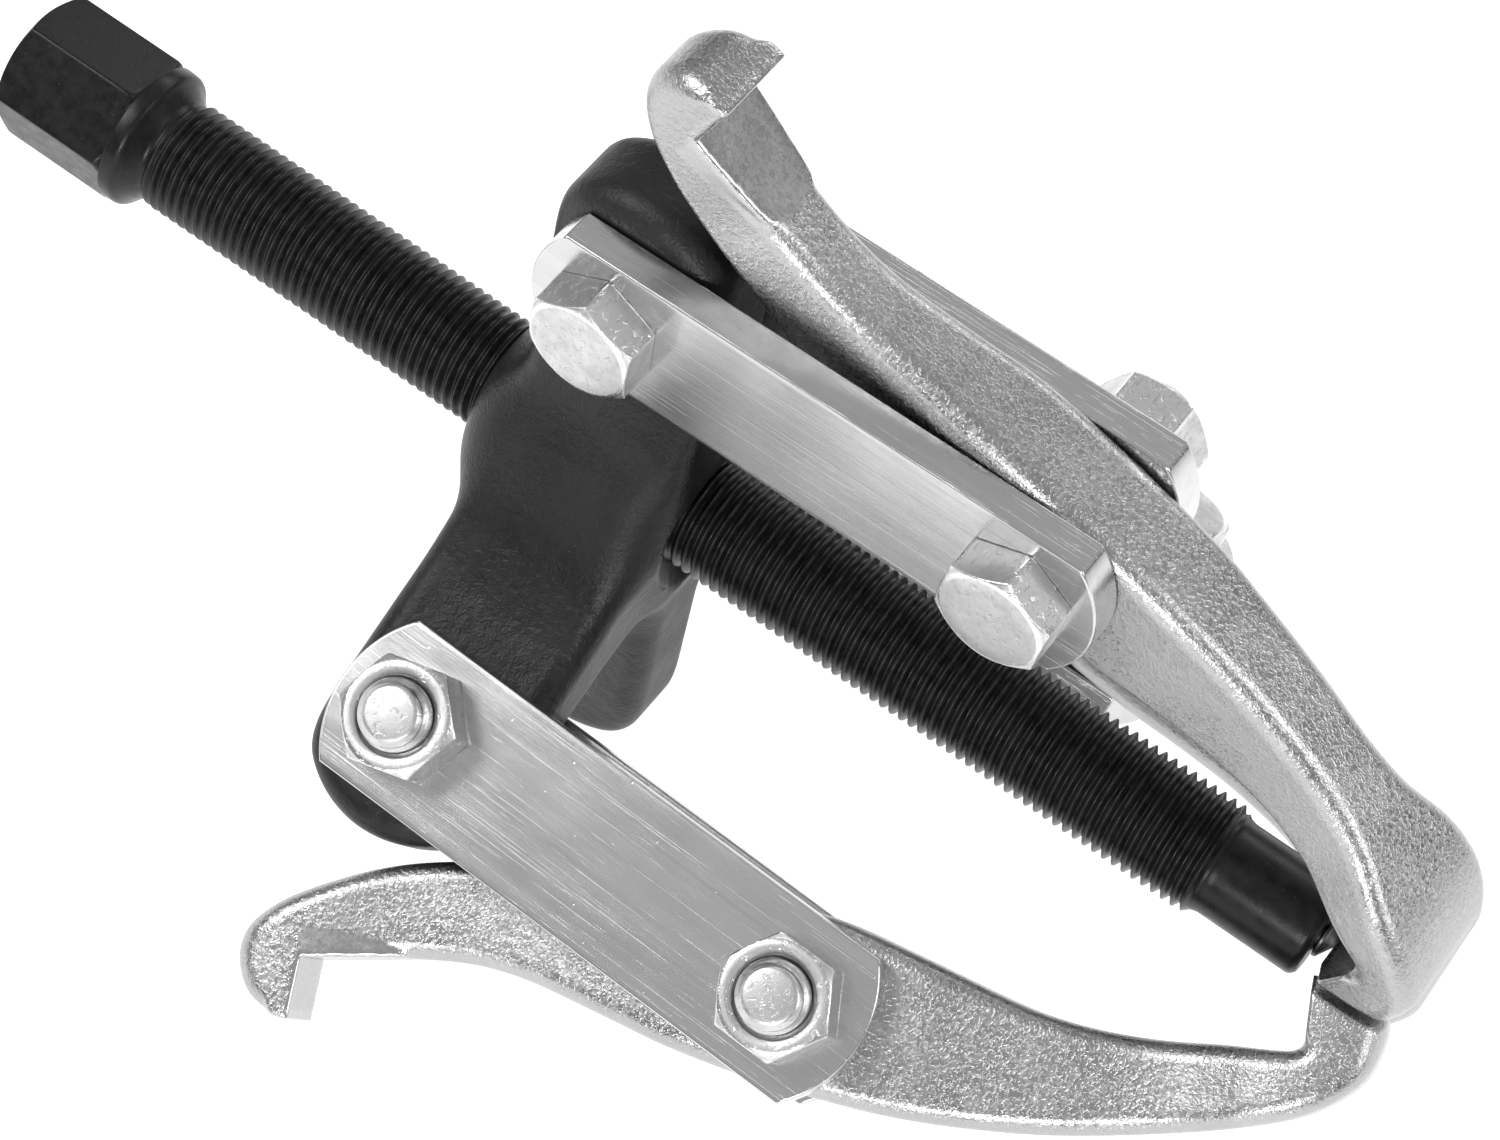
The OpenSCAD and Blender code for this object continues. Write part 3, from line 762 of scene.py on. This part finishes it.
def rim_share(points, along_low, along_high, af):
    """Wear on a hex: 1 at its corners and at the rim of its chamfers."""
    r = np.hypot(points[:, 1], points[:, 2])
    rim = np.abs(r - (af / 2 - 0.1)) < 0.35
    ends = np.minimum(np.abs(points[:, 0] - along_low), np.abs(points[:, 0] - along_high)) < 0.3
    corner = r > af / math.sqrt(3) - 0.35
    return np.clip((rim & ends) * 1.0 + corner * 0.8, 0, 1)


fastener_angles = hex_angles()
bolt_points, bolt_faces, _ = turned_mesh(fastener_angles, bolt_parts())
nut_points, nut_faces, _ = turned_mesh(fastener_angles, nut_parts(), closed=True)
NO_RIM = -99
bolt_edge = rim_share(bolt_points, -STRAP_OUTER - HEAD_H, NO_RIM, HEX_AF)
nut_edge = rim_share(nut_points, STRAP_OUTER, STRAP_OUTER + NUT_H, HEX_AF)


# ---------------------------------------------------------------- straps

def strap_mesh(side):
    """A flat bar with arched ends, two holes and slightly broken edges, from a filled curve."""
    corner = math.asin(STRAP_HALF_W / STRAP_END_R)
    centre = STRAP_END_R - STRAP_END
    arc = np.linspace(corner, -corner, 25)
    left = [(centre - STRAP_END_R * math.cos(a), STRAP_END_R * math.sin(a)) for a in arc]
    outline = left + [(STRAP_CENTRES - x, -y) for x, y in left]
    bevel, half_t = 0.32, (STRAP_OUTER - STRAP_INNER) / 2
    curve = bpy.data.curves.new("strap_outline", "CURVE")
    curve.dimensions, curve.fill_mode = "2D", "BOTH"
    curve.extrude, curve.bevel_depth, curve.offset, curve.bevel_resolution = half_t - bevel, bevel, -bevel, 2
    round_turn = np.linspace(0, 2 * math.pi, 48, endpoint=False)
    rings = [outline] + [[(x + STRAP_HOLE_R * math.cos(a), STRAP_HOLE_R * math.sin(a)) for a in round_turn]
                         for x in (0, STRAP_CENTRES)]
    for ring in rings:
        spline = curve.splines.new("POLY")
        spline.points.add(len(ring) - 1)
        for p, (x, y) in zip(spline.points, ring):
            p.co = (x, y, 0, 1)
        spline.use_cyclic_u = True
    holder = bpy.data.objects.new("strap_outline", curve)
    bpy.context.scene.collection.objects.link(holder)
    flat = bpy.data.meshes.new_from_object(holder.evaluated_get(bpy.context.evaluated_depsgraph_get()))
    co = np.array([v.co for v in flat.vertices])
    faces = [tuple(p.vertices) for p in flat.polygons]
    bpy.data.objects.remove(holder)
    bpy.data.meshes.remove(flat)
    middle = side * (STRAP_INNER + STRAP_OUTER) / 2
    return np.stack([co[:, 0], middle - co[:, 2], co[:, 1]], 1), faces


strap_shapes = {side: strap_mesh(side) for side in (-1, 1)}
for i, (arm, turn) in enumerate(TURNS.items()):
    link, place = f"link_{arm}", turn_about_x(turn)
    for j, (side, name) in enumerate(((-1, "bolt_side_strap"), (1, "nut_side_strap"))):
        points, faces = strap_shapes[side]
        add_piece(f"{name}_{arm}_bar", points, faces, place @ link_place(0), link, STRAP_LOOK,
                  [f"{name}_{arm}"], shift=170 * i + 60 * j, weld=WELD, flat_shaded=50)
    for j, (x, where, bolt_turn, nut_turn) in enumerate((
            (0, "yoke", YOKE_BOLT_TURN, YOKE_NUT_TURN), (STRAP_CENTRES, "jaw", JAW_BOLT_TURN, JAW_NUT_TURN))):
        for part, angle, points, faces, edge in (
                ("bolt", bolt_turn, bolt_points, bolt_faces, bolt_edge),
                ("nut", -nut_turn, nut_points, nut_faces, nut_edge)):
            spin = Matrix.Rotation(math.radians(-angle), 4, "Y")
            add_piece(f"{where}_{part}_{arm}_hex", points, faces,
                      place @ link_place(x) @ spin @ AXIS_TO_Y, link, FASTENER_LOOK,
                      [f"{where}_{part}_{arm}"], shift=110 * i + 40 * j, values={"edge": edge}, weld=WELD)


# ---------------------------------------------------------------- floor, light and camera

def plain(name, colour, rough, glow=0.0):
    m = bpy.data.materials.new(name)
    m.use_nodes = True
    shader = m.node_tree.nodes["Principled BSDF"]
    shader.inputs["Base Color"].default_value = (*colour, 1)
    shader.inputs["Roughness"].default_value = rough
    shader.inputs["Emission Color"].default_value = (1, 1, 1, 1)
    shader.inputs["Emission Strength"].default_value = glow
    return m


floor_mesh = bpy.data.meshes.new("floor")
FLOOR_Z = cad_box[0].z - 0.0005
FLOOR_R = 4
floor_corners = [(FLOOR_R * x, FLOOR_R * y, FLOOR_Z) for x, y in ((-1, -1), (1, -1), (1, 1), (-1, 1))]
floor_mesh.from_pydata(floor_corners, [], [(0, 1, 2, 3)])
floor_mesh.materials.append(plain("pale_floor", grey(0.5), 0.9, 0.85))
floor = bpy.data.objects.new("floor", floor_mesh)
bpy.context.scene.collection.objects.link(floor)

world = bpy.data.worlds.new("studio")
bpy.context.scene.world = world
world.use_nodes = True
nodes, links = world.node_tree.nodes, world.node_tree.links
place = nodes.new("ShaderNodeTexCoord")
split = nodes.new("ShaderNodeSeparateXYZ")
ramp = nodes.new("ShaderNodeValToRGB")
links.new(place.outputs["Generated"], split.inputs[0])
height = nodes.new("ShaderNodeMapRange")
height.inputs["From Min"].default_value = -1
links.new(split.outputs["Z"], height.inputs["Value"])
links.new(height.outputs["Result"], ramp.inputs["Fac"])
# dim at the horizon, bright above, and a dimmer patch straight up where the camera looks from
stops = ((0.0, 0.6), (0.48, 0.22), (0.62, 0.42), (0.80, 0.68), (0.93, 0.95), (1.0, 0.7))
while len(ramp.color_ramp.elements) < len(stops):
    ramp.color_ramp.elements.new(0.5)
for element, (at, level) in zip(ramp.color_ramp.elements, stops):
    element.position, element.color = at, (level, level, level, 1)
links.new(ramp.outputs["Color"], nodes["Background"].inputs["Color"])
nodes["Background"].inputs["Strength"].default_value = 0.55


def softbox(name, at, look_at, width, height, watts):
    lamp = bpy.data.lights.new(name, "AREA")
    lamp.shape, lamp.size, lamp.size_y, lamp.energy = "RECTANGLE", width, height, watts
    box = bpy.data.objects.new(name, lamp)
    bpy.context.scene.collection.objects.link(box)
    box.location = at
    box.rotation_euler = (Vector(look_at) - Vector(at)).to_track_quat("-Z", "Y").to_euler()


softbox("key", (-0.55, -0.35, 0.75), (0, 0, 0), 0.5, 0.5, 5)
softbox("fill", (0.75, 0.1, 0.5), (0.02, 0, 0), 0.35, 0.6, 2.5)
softbox("back", (0.0, 0.8, 0.5), (0, 0, 0), 0.9, 0.25, 2)
softbox("ridge", (0.38, -1.0, 0.40), (0.02, 0, 0.02), 0.5, 0.16, 5)

camera = bpy.data.objects.new("camera", bpy.data.cameras.new("camera"))
bpy.context.scene.collection.objects.link(camera)
camera.data.sensor_width, camera.data.lens = 36, 101.74
camera.data.clip_start = 0.01
CAMERA_AT = Vector((0.13757, -0.27733, 0.46146))
AZIMUTH, ELEVATION, ROLL = 22.653, 57.24, 14.961
camera.matrix_world = (Matrix.Translation(CAMERA_AT) @ Matrix.Rotation(math.radians(AZIMUTH), 4, "Z")
                       @ Matrix.Rotation(math.radians(90 - ELEVATION), 4, "X")
                       @ Matrix.Rotation(math.radians(ROLL), 4, "Z"))
bpy.context.scene.camera = camera
bpy.context.scene.view_settings.view_transform = "Standard"

bpy.context.view_layer.update()
